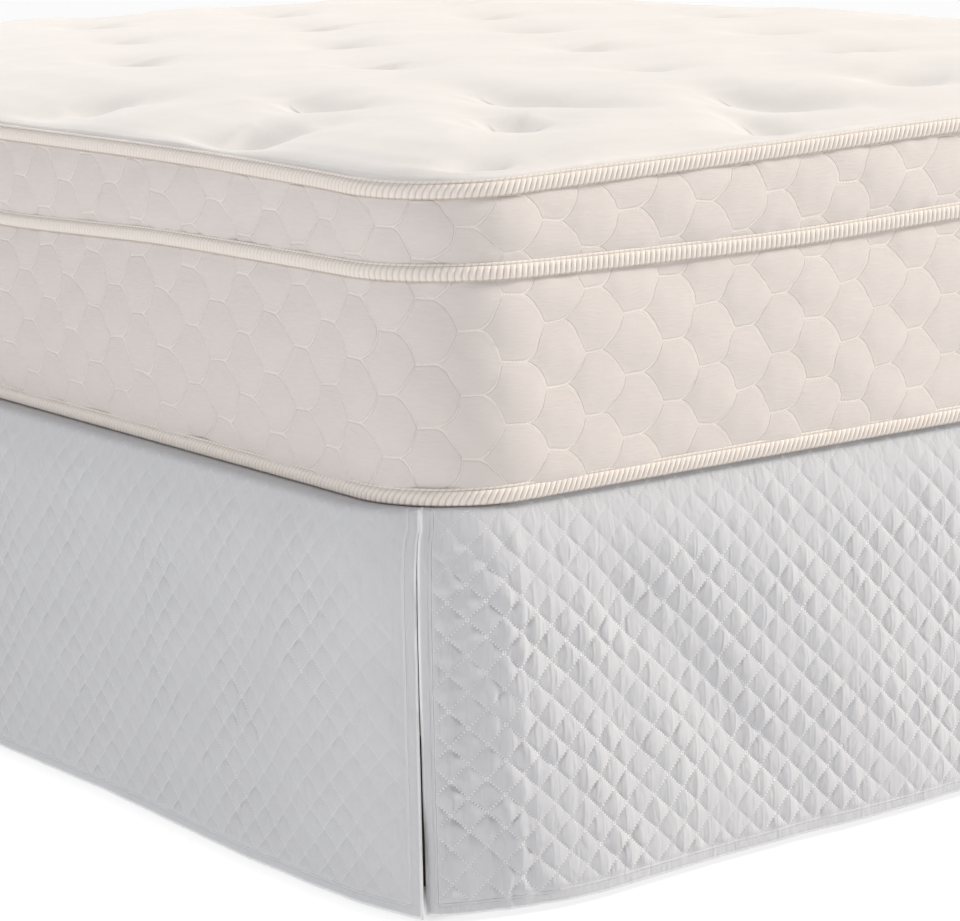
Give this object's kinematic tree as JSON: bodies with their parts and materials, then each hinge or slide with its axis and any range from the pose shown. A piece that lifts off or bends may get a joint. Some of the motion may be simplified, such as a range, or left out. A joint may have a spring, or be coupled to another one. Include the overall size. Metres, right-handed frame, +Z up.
{
  "type": "quilted bed skirt on a bed with mattress",
  "caption": "Split-corner bed skirt of diamond-quilted cloth, hanging from a flat deck over a foundation on legs, under a pillow-top mattress with taped edges.",
  "frame": {"origin": "middle of the bed at floor level", "axes": "+Z up from the floor, +Y along the bed from its foot to its head, +X across it"},
  "size_m": [1.5477, 2.048, 0.721],
  "materials": {
    "quilted_cotton": "matt, diamond quilted",
    "deck_muslin": "matt plain weave",
    "mattress_ticking": "soft knit ticking",
    "binding_tape": "ribbed tape with a slight sheen",
    "base_ticking": "matt plain weave",
    "leg_beech": "satin lacquer"
  },
  "bodies": {
    "root": {"skirt_drop_foot": "quilted_cotton", "skirt_drop_left": "quilted_cotton", "skirt_drop_right": "quilted_cotton", "skirt_deck": "deck_muslin", "mattress": "mattress_ticking", "mattress_tape_bottom": "binding_tape", "mattress_tape_middle": "binding_tape", "mattress_tape_top": "binding_tape", "box_spring": "base_ticking", "leg_1": "leg_beech", "leg_2": "leg_beech", "leg_3": "leg_beech", "leg_4": "leg_beech", "leg_5": "leg_beech", "leg_6": "leg_beech"}
  },
  "joints": []
}
